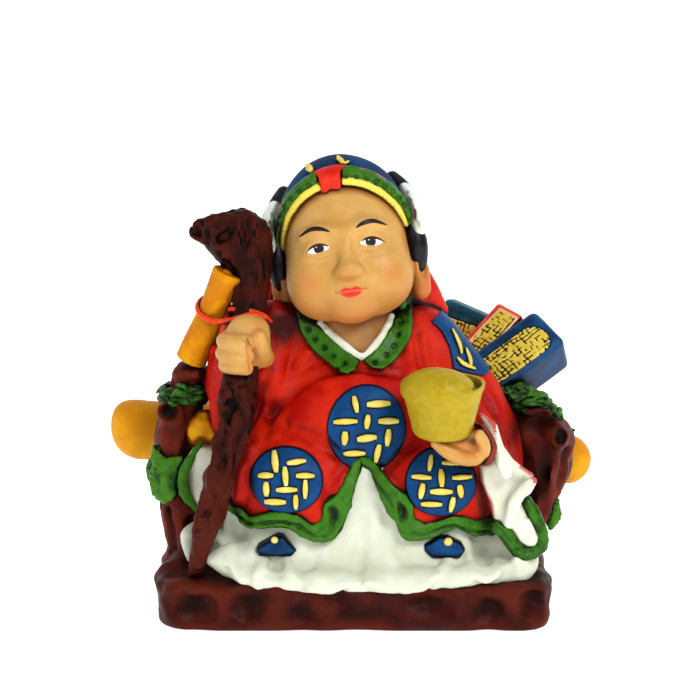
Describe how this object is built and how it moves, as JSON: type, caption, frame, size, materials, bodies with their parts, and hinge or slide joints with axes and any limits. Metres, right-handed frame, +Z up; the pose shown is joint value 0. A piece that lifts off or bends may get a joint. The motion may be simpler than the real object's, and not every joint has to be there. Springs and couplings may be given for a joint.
{
  "type": "seated wealth deity figurine",
  "caption": "Small painted resin figure of a seated wealth deity on a root-wood throne, holding a staff and a gold ingot, on a rocky base.",
  "frame": {"origin": "centre of the base's flat underside", "axes": "+Z up, the figure faces -Y, +X to the right of someone facing it"},
  "size_m": [0.114, 0.0734, 0.1001],
  "materials": {
    "painted_resin": "cast polyresin, hand painted, satin",
    "red_paint": "red acrylic paint, satin",
    "green_paint": "green acrylic paint with a dark wash",
    "blue_paint": "blue acrylic paint, satin",
    "white_paint": "off-white acrylic paint, matt",
    "gold_paint": "pale gold paint, satin",
    "skin_paint": "flesh paint with an orange blush, satin",
    "brown_paint": "red-brown paint with a black wash",
    "yellow_paint": "yellow-orange paint, matt"
  },
  "bodies": {
    "root": {"statue": "painted_resin"}
  },
  "joints": []
}
